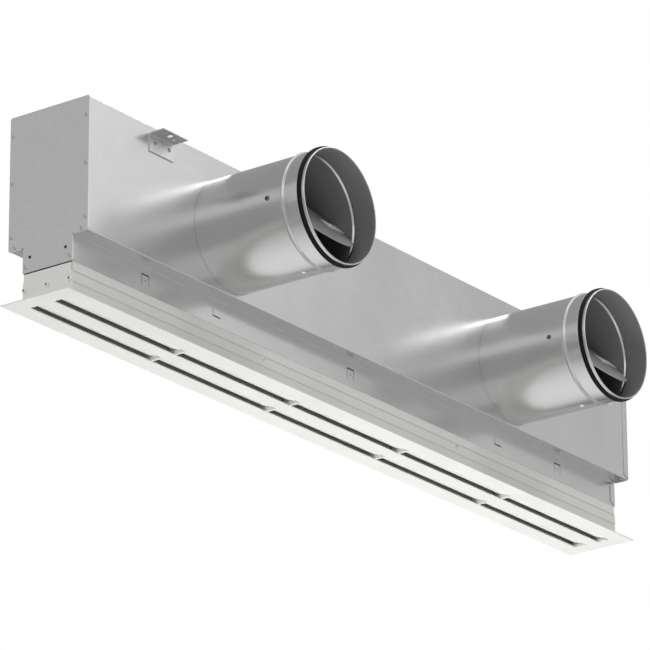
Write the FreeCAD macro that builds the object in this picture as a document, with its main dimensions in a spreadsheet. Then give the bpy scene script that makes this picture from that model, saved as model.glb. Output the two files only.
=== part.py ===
import FreeCAD, Part
import math
import os
import Sketcher

# Two-slot linear diffuser with its plenum box and two round duct spigots.
# X runs along the slots, the spigots point to -Y, +Z is up, and z = 0 is the
# room face of the flange, whose centre is the origin. Sizes are in millimetres.

SIZES = {
    # Sheet and seating
    "sheet": 1.0,
    "seat": 0.1,
    "fold_radius": 1.5,
    # Length of the slots, which the face and the box follow
    "slot_length": 1241.0,
    "face_end": 26.9,
    "box_end": 2.0,
    # Plenum box and its neck
    "box_depth": 131.0,
    "box_base": 85.0,
    "box_height": 186.0,
    "neck_width": 81.5,
    "neck_base": 48.7,
    "end_flange": 8.0,
    # End plates
    "lip_width": 8.5,
    "lip_taper": 5.0,
    "lip_margin": 1.0,
    "peep_radius": 2.2,
    "peep_spread": 59.4,
    "peep_height": 69.6,
    # Blind rivets
    "rivet_radius": 1.6,
    "rivet_head": 2.9,
    "rivet_head_height": 1.1,
    "rivet_tail": 2.4,
    "rivet_tail_height": 1.4,
    "rivet_edge": 4.0,
    "crown_share": 0.7,
    # Catches cut in the neck
    "catch_top": 75.0,
    "catch_height": 15.0,
    "catch_width": 15.5,
    "catch_slit": 0.8,
    "catch_gap": 1.7,
    "catch_middle": 27.3,
    "latch_base": 60.6,
    "latch_height": 11.0,
    "latch_width": 16.5,
    # Spigots
    "spigot_diameter": 158.0,
    "spigot_length": 180.0,
    "spigot_spacing": 648.0,
    "spigot_height": 169.0,
    "spigot_flange": 3.5,
    "spigot_gap": 0.3,
    "rim_band": 4.6,
    "rim_hem": 0.3,
    "seal_seat": 5.5,
    "seal_step": 0.7,
    "step_flank": 2.6,
    "bead_from_rim": 35.6,
    "bead_width": 5.6,
    "bead_crest": 2.2,
    "bead_height": 1.8,
    # Lip seal
    "seal_base": 0.3,
    "lip_height": 2.8,
    "lip_lean": 2.2,
    "lip_tip": 0.5,
    "lip_pitch": 2.6,
    # Damper
    "pivot_from_rim": 60.0,
    "damper_tilt": 46.0,
    "damper_gap": 2.0,
    "damper_offset": 3.5,
    "notch_depth": 4.5,
    "strap_width": 18.0,
    "strap_length": 36.0,
    "ear_reach": 4.0,
    "ear_gap": 1.7,
    "pivot_radius": 2.0,
    "pivot_play": 0.08,
    "pivot_head": 3.4,
    "pivot_head_height": 1.6,
    "collar_radius": 3.5,
    "side_play": 0.4,
    "strap_rivet_inset": 24.0,
    # Hanger brackets
    "hanger_spacing": 947.7,
    "hanger_width": 50.7,
    "hanger_reach": 25.0,
    "hanger_drop": 10.7,
    "hanger_leg": 26.3,
    "hanger_sheet": 1.5,
    "hanger_hole": 4.0,
    "hanger_hole_reach": 15.2,
    "hanger_pilot": 2.0,
    "hanger_pilot_offset": 12.5,
    "hanger_pilot_reach": 11.2,
    "hanger_rivet_spacing": 29.8,
    "hanger_rivet_drop": 12.4,
    # Diffuser
    "face_rim": 15.0,
    "face_sheet": 1.6,
    "slot_width": 20.0,
    "slot_pitch": 40.0,
    "wall_sheet": 1.5,
    "wall_height": 48.5,
    "groove_high": 34.8,
    "groove_low": 20.4,
    "wall_groove": 1.5,
    "wall_groove_depth": 0.7,
    "fin_base": 43.0,
    "fin_height": 58.0,
    "fin_sheet": 1.0,
    "fin_gap": 0.3,
    "fin_setback": 2.0,
    "stem_sheet": 1.6,
    "port_height": 25.0,
    "port_radius": 3.0,
    "port_edge": 3.25,
    # End angles
    "end_sheet": 1.6,
    "end_height": 47.1,
    "notch_height": 36.0,
    "notch_width": 1.3,
    # Screws
    "screw_radius": 1.8,
    "screw_play": 0.1,
    "screw_head": 3.2,
    "screw_head_height": 2.6,
    "screw_length": 13.0,
    "side_screw_radius": 1.5,
    "side_screw_head": 2.6,
    "side_screw_head_height": 1.6,
    "side_screw_length": 5.0,
    "side_screw_spacing": 444.0,
    "side_screw_height": 31.8,
    # Tie bars between the side profiles
    "tie_width": 16.0,
    "tie_height": 8.5,
    "tie_sheet": 1.5,
    # Webs and air vanes
    "web_thickness": 3.0,
    "web_height": 20.0,
    "tongue_gap": 0.3,
    "vane_chord": 19.4,
    "vane_rise": 1.5,
    "vane_sheet": 0.9,
    "vane_tilt": 20.0,
    "vane_height": 5.8,
    "vane_bead": 1.6,
    "vane_pin": 1.0,
    "vane_pin_play": 0.08,
    "vane_pin_reach": 1.2,
    "vane_side_gap": 0.4,
}
SEGMENTS = 5
PIN_SIDES = 8


class Size:
    """A length or angle, kept as its number and as the expression that gives it."""

    def __init__(self, value, text):
        self.value = float(value)
        self.text = text

    def __add__(self, other):
        other = as_size(other)
        return Size(self.value + other.value, f"({self.text} + {other.text})")

    def __sub__(self, other):
        other = as_size(other)
        return Size(self.value - other.value, f"({self.text} - {other.text})")

    def __mul__(self, other):
        other = as_size(other)
        return Size(self.value * other.value, f"({self.text} * {other.text})")

    def __truediv__(self, other):
        other = as_size(other)
        return Size(self.value / other.value, f"({self.text} / {other.text})")

    def __neg__(self):
        return Size(-self.value, f"(0 - {self.text})")


def as_size(number):
    """Plain numbers join in a sum or a product of sizes as they are."""
    if isinstance(number, Size):
        return number
    return Size(number, f"({number})")


class Dimensions:
    """Each driving dimension under its own name, such as dim.sheet."""


doc = FreeCAD.newDocument("linear_diffuser")
sheet_object = doc.addObject("Spreadsheet::Sheet", "Sizes")
dim = Dimensions()
for row, (alias, number) in enumerate(SIZES.items(), start=1):
    sheet_object.set(f"A{row}", alias)
    sheet_object.set(f"B{row}", str(number))
    sheet_object.setAlias(f"B{row}", alias)
    setattr(dim, alias, Size(number, f"Sizes.{alias}"))
doc.recompute()

# Levels and half widths that several pieces share
half_box = dim.box_depth / 2
half_neck = dim.neck_width / 2
box_top = dim.box_base + dim.box_height
half_slots = dim.slot_length / 2
half_length = half_slots + dim.box_end
spigot_radius = dim.spigot_diameter / 2
bore_radius = spigot_radius - dim.sheet
rim_y = -half_box - dim.spigot_length
pivot_y = rim_y + dim.pivot_from_rim
bead_y = rim_y + dim.bead_from_rim
half_spacing = dim.spigot_spacing / 2
blade_radius = bore_radius - dim.damper_gap
ear_out = bore_radius - dim.ear_gap
blade_front = dim.damper_offset + dim.sheet / 2
half_face = half_slots + dim.face_end
half_width = half_neck + dim.face_rim
slot_centre = dim.slot_pitch / 2
slot_far = slot_centre + dim.slot_width / 2
slot_near = slot_centre - dim.slot_width / 2
wall_out = half_neck
wall_in = wall_out - dim.wall_sheet
port_y = wall_out - dim.port_edge
segment = (dim.slot_length - dim.web_thickness * (SEGMENTS - 1)) / SEGMENTS
web_pitch = segment + dim.web_thickness
hanger_shelf = box_top - dim.hanger_drop
rivet_hole = dim.rivet_radius + dim.seat
level_zero = Size(0, "0")
pivot_hole = dim.pivot_radius + dim.pivot_play
tie_base = dim.port_height + dim.port_radius + dim.fin_gap

parts = []


def new_body(label):
    """An empty body whose label is the name of its file."""
    body = doc.addObject("PartDesign::Body", label)
    body.Label = label
    parts.append(body)
    return body


def sketch_on(body, name, role, offset=None):
    """A sketch on one of the body's origin planes, moved along the plane's normal by offset.

    The normals are +Z for XY_Plane, -Y for XZ_Plane and +X for YZ_Plane."""
    sketch = body.newObject("Sketcher::SketchObject", f"{body.Label}_{name}")
    plane = [feature for feature in body.Origin.OriginFeatures if feature.Role == role][0]
    sketch.AttachmentSupport = [(plane, "")]
    sketch.MapMode = "FlatFace"
    if offset is not None:
        sketch.setExpression("AttachmentOffset.Base.z", offset.text)
    return sketch


def fix_point(sketch, edge, end, x, y):
    """Holds a point at its distances from the sketch's origin."""
    for kind, distance in (("DistanceX", as_size(x)), ("DistanceY", as_size(y))):
        index = sketch.addConstraint(Sketcher.Constraint(kind, -1, 1, edge, end, distance.value))
        sketch.setExpression(f"Constraints[{index}]", distance.text)


def arc_between(start, end, radius, turn):
    """The short arc from start to end that turns left or right."""
    chord = end - start
    half = chord.Length / 2
    side = FreeCAD.Vector(-chord.y, chord.x, 0).normalize()
    if turn == "right":
        side = side * -1
    centre = start + chord * 0.5 + side * math.sqrt(max(radius ** 2 - half ** 2, 0))
    first, last = (start, end) if turn == "left" else (end, start)
    angles = [math.atan2(point.y - centre.y, point.x - centre.x) for point in (first, last)]
    circle = Part.Circle(centre, FreeCAD.Vector(0, 0, 1), radius)
    return Part.ArcOfCircle(circle, angles[0], angles[1])


def draw_outline(sketch, corners):
    """A closed outline. A corner is (x, y), or (x, y, radius, turn) where an arc leaves it."""
    spots = [FreeCAD.Vector(as_size(corner[0]).value, as_size(corner[1]).value, 0) for corner in corners]
    edges = []
    for index, corner in enumerate(corners):
        start = spots[index]
        end = spots[(index + 1) % len(corners)]
        if len(corner) == 2:
            edge = sketch.addGeometry(Part.LineSegment(start, end), False)
            edges.append((edge, 1, 2))
            continue
        radius, turn = corner[2:]
        edge = sketch.addGeometry(arc_between(start, end, radius.value, turn), False)
        edges.append((edge, 1, 2) if turn == "left" else (edge, 2, 1))
        size = sketch.addConstraint(Sketcher.Constraint("Radius", edge, radius.value))
        sketch.setExpression(f"Constraints[{size}]", radius.text)
    for index, corner in enumerate(corners):
        edge, first, last = edges[index]
        following = edges[(index + 1) % len(corners)]
        sketch.addConstraint(Sketcher.Constraint("Coincident", edge, last, following[0], following[1]))
        fix_point(sketch, edge, first, corner[0], corner[1])


def draw_circle(sketch, x, y, radius):
    """A full circle at a fixed centre."""
    centre = FreeCAD.Vector(as_size(x).value, as_size(y).value, 0)
    edge = sketch.addGeometry(Part.Circle(centre, FreeCAD.Vector(0, 0, 1), radius.value), False)
    fix_point(sketch, edge, 3, x, y)
    index = sketch.addConstraint(Sketcher.Constraint("Radius", edge, radius.value))
    sketch.setExpression(f"Constraints[{index}]", radius.text)


def rounded(corners, radii):
    """Rounds the corners of an outline whose sides all lie along X or Y."""
    outline = []
    count = len(corners)
    for index, (x, y) in enumerate(corners):
        radius = radii[index]
        if radius is None:
            outline.append((x, y))
            continue
        into = side_direction(corners[index - 1], corners[index])
        out = side_direction(corners[index], corners[(index + 1) % count])
        turn = "left" if into[0] * out[1] - into[1] * out[0] > 0 else "right"
        outline.append((x - radius * into[0], y - radius * into[1], radius, turn))
        outline.append((x + radius * out[0], y + radius * out[1]))
    return outline


def side_direction(start, end):
    """The unit step along X or Y from one corner to the next."""
    across = end[0].value - start[0].value
    up = end[1].value - start[1].value
    if abs(across) > abs(up):
        return (int(math.copysign(1, across)), 0)
    return (0, int(math.copysign(1, up)))


def pad(body, name, sketch, length, symmetric=False, backwards=False):
    """Adds the sketch's area along the plane's normal."""
    feature = body.newObject("PartDesign::Pad", f"{body.Label}_{name}")
    feature.Profile = sketch
    feature.setExpression("Length", length.text)
    feature.Midplane = symmetric
    feature.Reversed = backwards
    body.Tip = feature
    doc.recompute()
    return feature


def cut(body, name, sketch, length=None, symmetric=False, backwards=False):
    """Takes the sketch's area away, against the plane's normal unless backwards; no length is all through."""
    before = body.Shape.Volume
    feature = body.newObject("PartDesign::Pocket", f"{body.Label}_{name}")
    feature.Profile = sketch
    if length is None:
        feature.Type = "ThroughAll"
    else:
        feature.setExpression("Length", length.text)
    feature.Midplane = symmetric
    feature.Reversed = backwards
    body.Tip = feature
    doc.recompute()
    if body.Shape.Volume >= before:
        raise RuntimeError(f"{feature.Name} removed nothing")
    return feature


def revolve(body, name, sketch):
    """Turns the sketch's area once round its vertical axis."""
    feature = body.newObject("PartDesign::Revolution", f"{body.Label}_{name}")
    feature.Profile = sketch
    feature.ReferenceAxis = (sketch, ["V_Axis"])
    feature.Angle = 360
    body.Tip = feature
    doc.recompute()
    return feature


def place(piece, x=0, y=0, z=0, axis=None, angle=0):
    """Sets a piece's place from sizes, turned by an angle about an axis through its own origin."""
    spot = [as_size(x), as_size(y), as_size(z)]
    turn = as_size(angle)
    rotation = FreeCAD.Rotation()
    if axis is not None:
        rotation = FreeCAD.Rotation(FreeCAD.Vector(*axis), turn.value)
    piece.Placement = FreeCAD.Placement(FreeCAD.Vector(*[size.value for size in spot]), rotation)
    for letter, size in zip("xyz", spot):
        piece.setExpression(f"Placement.Base.{letter}", size.text)
    if axis is not None and isinstance(angle, Size):
        piece.setExpression("Placement.Rotation.Angle", turn.text)


def turned(side_sign):
    """Half a turn about Z for the pieces of the far side."""
    return {} if side_sign > 0 else {"axis": (0, 0, 1), "angle": 180}


def corner_angles():
    """Directions of the corners of a small pin, which is drawn with a few flat sides."""
    return [math.tau * (index + 0.5) / PIN_SIDES for index in range(PIN_SIDES)]


def draw_flat_sided(sketch, x, y, radius):
    """The outline of a small pin or of its hole, with the same flat sides."""
    draw_outline(sketch, [
        (x + radius * math.cos(angle), y + radius * math.sin(angle)) for angle in corner_angles()
    ])


def headed_pin(stations, direction, spot):
    """A many-sided pin from (distance along the axis, radius) stations, set on its axis."""
    rings = []
    for along, radius in stations:
        flat = [(math.cos(angle) * radius.value, math.sin(angle) * radius.value) for angle in corner_angles()]
        rings.append([FreeCAD.Vector(x, y, along.value) for x, y in flat])
    faces = [Part.Face(Part.makePolygon(ring + ring[:1])) for ring in (rings[0], rings[-1])]
    for low, high in zip(rings, rings[1:]):
        for index in range(PIN_SIDES):
            quad = [low[index - 1], low[index], high[index], high[index - 1], low[index - 1]]
            faces.append(Part.Face(Part.makePolygon(quad)))
    solid = Part.makeSolid(Part.makeShell(faces)).removeSplitter()
    turn = FreeCAD.Rotation(FreeCAD.Vector(0, 0, 1), FreeCAD.Vector(*direction))
    solid.Placement = FreeCAD.Placement(FreeCAD.Vector(*[as_size(value).value for value in spot]), turn)
    return solid


def fastener_group(label, solids):
    """One node that holds several loose fasteners of one kind."""
    group = doc.addObject("Part::Feature", label)
    group.Label = label
    group.Shape = Part.makeCompound(solids)
    parts.append(group)
    return group


def rivet_stations(grip):
    """A blind rivet: head outside, shank through the grip, tail on the far side. 0 is under the head."""
    return [
        (-grip - dim.rivet_tail_height, dim.rivet_tail * dim.crown_share),
        (-grip, dim.rivet_tail),
        (-grip, dim.rivet_radius),
        (level_zero, dim.rivet_radius),
        (level_zero, dim.rivet_head),
        (dim.rivet_head_height, dim.rivet_head * dim.crown_share),
    ]


def screw_stations(head, head_height, shank, length):
    """A pan head screw. 0 is under the head."""
    return [
        (-length, shank * dim.crown_share),
        (-length + shank, shank),
        (level_zero, shank),
        (level_zero, head),
        (head_height / 2, head),
        (head_height, head * dim.crown_share),
    ]


def casing_corners(inset, open_drop=0):
    """Section of the box and its neck, moved inwards by inset; the neck's end is lowered by open_drop."""
    neck = half_neck - inset
    deep = half_box - inset
    low = dim.box_base + inset
    high = box_top - inset
    end = dim.neck_base - open_drop
    right_side = [(neck, end), (neck, low), (deep, low), (deep, high)]
    return [(-neck, end)] + right_side + [(-deep, high), (-deep, low), (-neck, low)]


def fold_radii(inset):
    """Radii of the folds: smaller on the inside of a fold, larger on the outside of the step."""
    outward = dim.fold_radius - inset
    step = dim.fold_radius - dim.sheet + inset
    return [None, None, step, outward, outward, outward, outward, step]


def end_rivet_places():
    """(y, z) of the rivets that join an end plate to the casing's turned-in flange."""
    edge = half_box - dim.rivet_edge
    tall = box_top - dim.box_base
    step = dim.box_base + dim.rivet_edge
    neck = half_neck - dim.rivet_edge
    neck_level = dim.neck_base + dim.rivet_edge * 2
    levels = [box_top - tall * 0.14, dim.box_base + tall / 2, dim.box_base + tall * 0.1]
    places = []
    for sign in (1, -1):
        places += [(edge * sign, level) for level in levels]
        places.append(((half_box - dim.rivet_edge * 2.4) * sign, step))
        places.append((neck * sign, neck_level))
    return places


def hanger_rivet_offsets():
    """Distances of a bracket's two rivets from its middle."""
    return [dim.hanger_rivet_spacing / 2, -dim.hanger_rivet_spacing / 2]


def build_casing():
    """The folded box: top, two sides, two steps and the neck, with a flange turned in at each end."""
    body = new_body("plenum_casing")
    length = (half_length - dim.sheet - dim.seat) * 2
    blank = sketch_on(body, "section", "YZ_Plane")
    draw_outline(blank, rounded(casing_corners(as_size(0)), fold_radii(as_size(0))))
    pad(body, "blank", blank, length, symmetric=True)
    hollow = sketch_on(body, "hollow_section", "YZ_Plane")
    draw_outline(hollow, rounded(casing_corners(dim.sheet, dim.sheet), fold_radii(dim.sheet)))
    cut(body, "hollow", hollow, length - dim.sheet * 2, symmetric=True)
    ends = sketch_on(body, "end_opening_section", "YZ_Plane")
    draw_outline(ends, casing_corners(dim.end_flange, dim.sheet))
    cut(body, "end_openings", ends, symmetric=True)
    holes = sketch_on(body, "spigot_hole_circles", "XZ_Plane")
    for sign in (1, -1):
        draw_circle(holes, half_spacing * sign, dim.spigot_height, spigot_radius + dim.spigot_gap)
    cut(body, "spigot_holes", holes, backwards=True)
    rivets = sketch_on(body, "hanger_rivet_circles", "XZ_Plane")
    level = hanger_shelf - dim.hanger_rivet_drop
    for sign in (1, -1):
        for offset in hanger_rivet_offsets():
            draw_flat_sided(rivets, dim.hanger_spacing / 2 * sign + offset, level, rivet_hole)
    cut(body, "hanger_rivet_holes", rivets, symmetric=True)
    rivets = sketch_on(body, "end_rivet_circles", "YZ_Plane")
    for y, z in end_rivet_places():
        draw_flat_sided(rivets, y, z, rivet_hole)
    cut(body, "end_rivet_holes", rivets, symmetric=True)
    catches = sketch_on(body, "catch_outlines", "XZ_Plane")
    for middle in (-dim.hanger_spacing / 2, -dim.catch_middle, dim.hanger_spacing / 2):
        draw_catch(catches, middle)
    for sign in (1, -1):
        draw_latch(catches, half_spacing * sign)
    cut(body, "catches", catches, symmetric=True)
    place(body)


def draw_catch(sketch, middle):
    """The slit round three sides of a spring catch, wider along its free upper edge."""
    half = dim.catch_width / 2
    low = dim.catch_top - dim.catch_height
    under = dim.catch_top - dim.catch_gap
    draw_outline(sketch, [
        (middle - half, low),
        (middle - half + dim.catch_slit, low),
        (middle - half + dim.catch_slit, under),
        (middle + half - dim.catch_slit, under),
        (middle + half - dim.catch_slit, low),
        (middle + half, low),
        (middle + half, dim.catch_top),
        (middle - half, dim.catch_top),
    ])


def draw_latch(sketch, middle):
    """The L-shaped slit of a latch: one upright and a wider foot."""
    half = dim.latch_width / 2
    top = dim.latch_base + dim.latch_height
    draw_outline(sketch, [
        (middle - half, dim.latch_base),
        (middle + half, dim.latch_base),
        (middle + half, dim.latch_base + dim.catch_gap),
        (middle - half + dim.catch_slit, dim.latch_base + dim.catch_gap),
        (middle - half + dim.catch_slit, top),
        (middle - half, top),
    ])


def build_end_plate(label, side_sign):
    """An end plate with tapered lips folded over the casing's outside."""
    body = new_body(label)
    outward = -(dim.seat + dim.sheet)
    section = sketch_on(body, "section", "YZ_Plane", half_length - dim.sheet)
    draw_outline(section, casing_corners(outward))
    pad(body, "plate", section, dim.sheet)
    margin = dim.lip_margin
    low = dim.box_base
    inner = half_length - dim.lip_width
    neck_low = dim.neck_base + margin
    side_lips = [(half_box, low + margin, box_top - margin), (half_neck, neck_low, low - margin * 2)]
    for index, (face, base, top) in enumerate(side_lips):
        for name, offset in (("front", face + dim.seat), ("back", -(face + dim.seat + dim.sheet))):
            lip = sketch_on(body, f"{name}_lip_{index}_outline", "XZ_Plane", offset)
            draw_outline(lip, [
                (half_length, base),
                (half_length, top),
                (inner, top - dim.lip_taper),
                (inner, base + dim.lip_taper),
            ])
            pad(body, f"{name}_lip_{index}", lip, dim.sheet)
    roof = half_box - margin
    lip = sketch_on(body, "top_lip_outline", "XY_Plane", box_top + dim.seat)
    draw_outline(lip, [
        (half_length, -roof),
        (half_length, roof),
        (inner, roof - dim.lip_taper),
        (inner, -roof + dim.lip_taper),
    ])
    pad(body, "top_lip", lip, dim.sheet)
    step_in = half_neck + margin * 3
    for sign in (1, -1):
        lip = sketch_on(body, f"step_lip_{sign + 1}_outline", "XY_Plane", low - dim.seat - dim.sheet)
        draw_outline(lip, [
            (half_length, step_in * sign),
            (half_length, roof * sign),
            (inner, (roof - dim.lip_taper) * sign),
            (inner, (step_in + dim.lip_taper) * sign),
        ])
        pad(body, f"step_lip_{sign + 1}", lip, dim.sheet)
    holes = sketch_on(body, "hole_circles", "YZ_Plane")
    for y, z in end_rivet_places():
        draw_flat_sided(holes, y, z, rivet_hole)
    for sign in (1, -1):
        draw_circle(holes, dim.peep_spread / 2 * sign, dim.peep_height, dim.peep_radius)
    cut(body, "holes", holes, backwards=True)
    place(body, **turned(side_sign))


def build_end_rivets(label, side_sign):
    """The rivets of one end plate."""
    grip = dim.sheet * 2 + dim.seat
    solids = [headed_pin(rivet_stations(grip), (1, 0, 0), (half_length, y, z)) for y, z in end_rivet_places()]
    group = fastener_group(label, solids)
    place(group, **turned(side_sign))


def tube_side(radius, rim):
    """One surface of the spigot's wall from the rim to the box, past the seal's seat and the stop bead."""
    seat_end = rim_y + dim.rim_band + dim.seal_seat
    half = dim.bead_width / 2
    crest = dim.bead_crest / 2
    return rim + [
        (radius - dim.seal_step, seat_end),
        (radius, seat_end + dim.step_flank),
        (radius, bead_y - half),
        (radius + dim.bead_height, bead_y - crest),
        (radius + dim.bead_height, bead_y + crest),
        (radius, bead_y + half),
    ]


def build_spigot(label, side_sign):
    """A rolled tube with a hemmed rim, the seal's seat, a stop bead, pivot holes and a flange in the box."""
    body = new_body(label)
    inside = -half_box + dim.sheet + dim.seat
    profile = sketch_on(body, "profile", "XY_Plane")
    hem = spigot_radius + dim.rim_hem
    seat_start = rim_y + dim.rim_band
    outer = tube_side(spigot_radius, [
        (hem, rim_y),
        (hem, seat_start),
        (spigot_radius - dim.seal_step, seat_start),
    ])
    outer += [
        (spigot_radius, inside),
        (spigot_radius + dim.spigot_flange, inside),
        (spigot_radius + dim.spigot_flange, inside + dim.sheet),
        (bore_radius, inside + dim.sheet),
    ]
    inner = tube_side(bore_radius, [(bore_radius - dim.seal_step, rim_y)])
    draw_outline(profile, outer + inner[::-1])
    revolve(body, "tube", profile)
    pivots = sketch_on(body, "pivot_circle", "YZ_Plane")
    draw_circle(pivots, pivot_y, 0, dim.pivot_radius + dim.seat)
    cut(body, "pivot_holes", pivots, symmetric=True)
    stop = sketch_on(body, "stop_circle", "XY_Plane")
    draw_flat_sided(stop, level_zero, pivot_y, rivet_hole)
    cut(body, "stop_hole", stop)
    place(body, x=half_spacing * side_sign, z=dim.spigot_height)


def build_seal(label, side_sign):
    """A rubber ring behind the rim's hem, with two lips that lean away from the rim."""
    body = new_body(label)
    floor = spigot_radius - dim.seal_step + dim.seat
    base = spigot_radius + dim.seal_base
    tip = spigot_radius + dim.lip_height
    start = rim_y + dim.rim_band + dim.seat
    end = rim_y + dim.rim_band + dim.seal_seat - dim.seat
    second = start + dim.lip_pitch
    profile = sketch_on(body, "profile", "XY_Plane")
    draw_outline(profile, [
        (floor, start),
        (base, start),
        (tip, start + dim.lip_lean),
        (tip, start + dim.lip_lean + dim.lip_tip),
        (base, second),
        (tip, second + dim.lip_lean),
        (tip, second + dim.lip_lean + dim.lip_tip),
        (base, end),
        (floor, end),
    ])
    revolve(body, "ring", profile)
    place(body, x=half_spacing * side_sign, z=dim.spigot_height)


def place_on_pivot(piece, side_sign):
    """Sets a damper piece, drawn shut about its pivot, at the tilt it has at rest."""
    x = half_spacing * side_sign
    place(piece, x=x, y=pivot_y, z=dim.spigot_height, axis=(1, 0, 0), angle=-dim.damper_tilt)


def build_blade(label, side_sign):
    """The damper's disc, notched where its straps pass to the pivots."""
    body = new_body(label)
    disc = sketch_on(body, "disc_circle", "XZ_Plane", blade_front - dim.sheet)
    draw_circle(disc, 0, 0, blade_radius)
    pad(body, "disc", disc, dim.sheet)
    notches = sketch_on(body, "notch_outlines", "XZ_Plane")
    half = dim.strap_width / 2 + dim.side_play * 2
    for sign in (1, -1):
        draw_outline(notches, [
            ((blade_radius - dim.notch_depth) * sign, -half),
            ((blade_radius + dim.damper_gap) * sign, -half),
            ((blade_radius + dim.damper_gap) * sign, half),
            ((blade_radius - dim.notch_depth) * sign, half),
        ])
        draw_flat_sided(notches, (blade_radius - dim.strap_rivet_inset) * sign, level_zero, rivet_hole)
    cut(body, "notches", notches, backwards=True)
    place_on_pivot(body, side_sign)


def build_strap(label, side_sign, end_sign):
    """An angle strap riveted to the blade, whose ear turns on the pivot."""
    body = new_body(label)
    front = -(blade_front + dim.seat)
    start = ear_out - dim.strap_length
    profile = sketch_on(body, "profile", "XY_Plane")
    draw_outline(profile, [
        (start * end_sign, front - dim.sheet),
        (ear_out * end_sign, front - dim.sheet),
        (ear_out * end_sign, dim.ear_reach),
        ((ear_out - dim.sheet) * end_sign, dim.ear_reach),
        ((ear_out - dim.sheet) * end_sign, front),
        (start * end_sign, front),
    ])
    pad(body, "angle", profile, dim.strap_width, symmetric=True)
    pivot = sketch_on(body, "pivot_circle", "YZ_Plane")
    draw_circle(pivot, 0, 0, pivot_hole)
    cut(body, "pivot_hole", pivot, symmetric=True)
    rivet = sketch_on(body, "rivet_circle", "XZ_Plane")
    draw_flat_sided(rivet, (blade_radius - dim.strap_rivet_inset) * end_sign, level_zero, rivet_hole)
    cut(body, "rivet_hole", rivet, symmetric=True)
    place_on_pivot(body, side_sign)


def build_strap_rivets(label, side_sign):
    """The rivets that hold the straps on the blade."""
    grip = dim.sheet * 2 + dim.seat
    front = -(blade_front + dim.seat + dim.sheet)
    spread = blade_radius - dim.strap_rivet_inset
    solids = [headed_pin(rivet_stations(grip), (0, -1, 0), (spread * sign, front, 0)) for sign in (1, -1)]
    group = fastener_group(label, solids)
    place_on_pivot(group, side_sign)


def build_pivots(label, side_sign):
    """The two pivot pins in the tube's wall: head outside, collar and end plate either side of the ear."""
    collar = ear_out + dim.side_play
    inner = ear_out - dim.sheet - dim.side_play
    head = spigot_radius + dim.seat
    stations = [
        (inner - dim.pivot_head_height / 2, dim.collar_radius),
        (inner, dim.collar_radius),
        (inner, dim.pivot_radius),
        (collar, dim.pivot_radius),
        (collar, dim.collar_radius),
        (collar + dim.ear_gap / 2, dim.collar_radius),
        (collar + dim.ear_gap / 2, dim.pivot_radius),
        (head, dim.pivot_radius),
        (head, dim.pivot_head),
        (head + dim.pivot_head_height, dim.pivot_head * dim.crown_share),
    ]
    solids = [headed_pin(stations, (sign, 0, 0), (0, pivot_y, 0)) for sign in (1, -1)]
    group = fastener_group(label, solids)
    place(group, x=half_spacing * side_sign, z=dim.spigot_height)


def build_stop_rivet(label, side_sign):
    """The rivet in the bottom of the tube that the shut blade comes to rest against."""
    grip = dim.sheet + dim.seat * 3
    pin = headed_pin(rivet_stations(grip), (0, 0, -1), (0, pivot_y, -spigot_radius - dim.seat))
    group = fastener_group(label, [pin])
    place(group, x=half_spacing * side_sign, z=dim.spigot_height)


def build_hanger(label, side_sign, end_sign):
    """An angle bracket whose shelf carries the hanging rod's hole."""
    body = new_body(label)
    low = -dim.hanger_leg
    thick = dim.hanger_sheet
    section = sketch_on(body, "section", "YZ_Plane")
    draw_outline(section, [
        (-dim.seat, low),
        (-dim.seat, 0),
        (-dim.hanger_reach, 0),
        (-dim.hanger_reach, -thick),
        (-dim.seat - thick, -thick),
        (-dim.seat - thick, low),
    ])
    pad(body, "angle", section, dim.hanger_width, symmetric=True)
    holes = sketch_on(body, "rod_circles", "XY_Plane", -thick * 2)
    draw_circle(holes, 0, -dim.hanger_hole_reach, dim.hanger_hole)
    draw_circle(holes, dim.hanger_pilot_offset, -dim.hanger_pilot_reach, dim.hanger_pilot)
    cut(body, "rod_holes", holes, backwards=True)
    rivets = sketch_on(body, "rivet_circles", "XZ_Plane")
    for offset in hanger_rivet_offsets():
        draw_flat_sided(rivets, offset, -dim.hanger_rivet_drop, rivet_hole)
    cut(body, "rivet_holes", rivets, backwards=True)
    x = dim.hanger_spacing / 2 * end_sign
    place(body, x=x, y=-half_box * side_sign, z=hanger_shelf, **turned(side_sign))


def build_hanger_rivets():
    """All the rivets of the hanger brackets."""
    grip = dim.hanger_sheet + dim.seat + dim.sheet
    face = half_box + dim.seat + dim.hanger_sheet
    level = hanger_shelf - dim.hanger_rivet_drop
    solids = []
    for side_sign in (1, -1):
        for end_sign in (1, -1):
            for offset in hanger_rivet_offsets():
                spot = (dim.hanger_spacing / 2 * end_sign + offset, -face * side_sign, level)
                solids.append(headed_pin(rivet_stations(grip), (0, -side_sign, 0), spot))
    group = fastener_group("hanger_rivets", solids)
    place(group)


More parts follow.
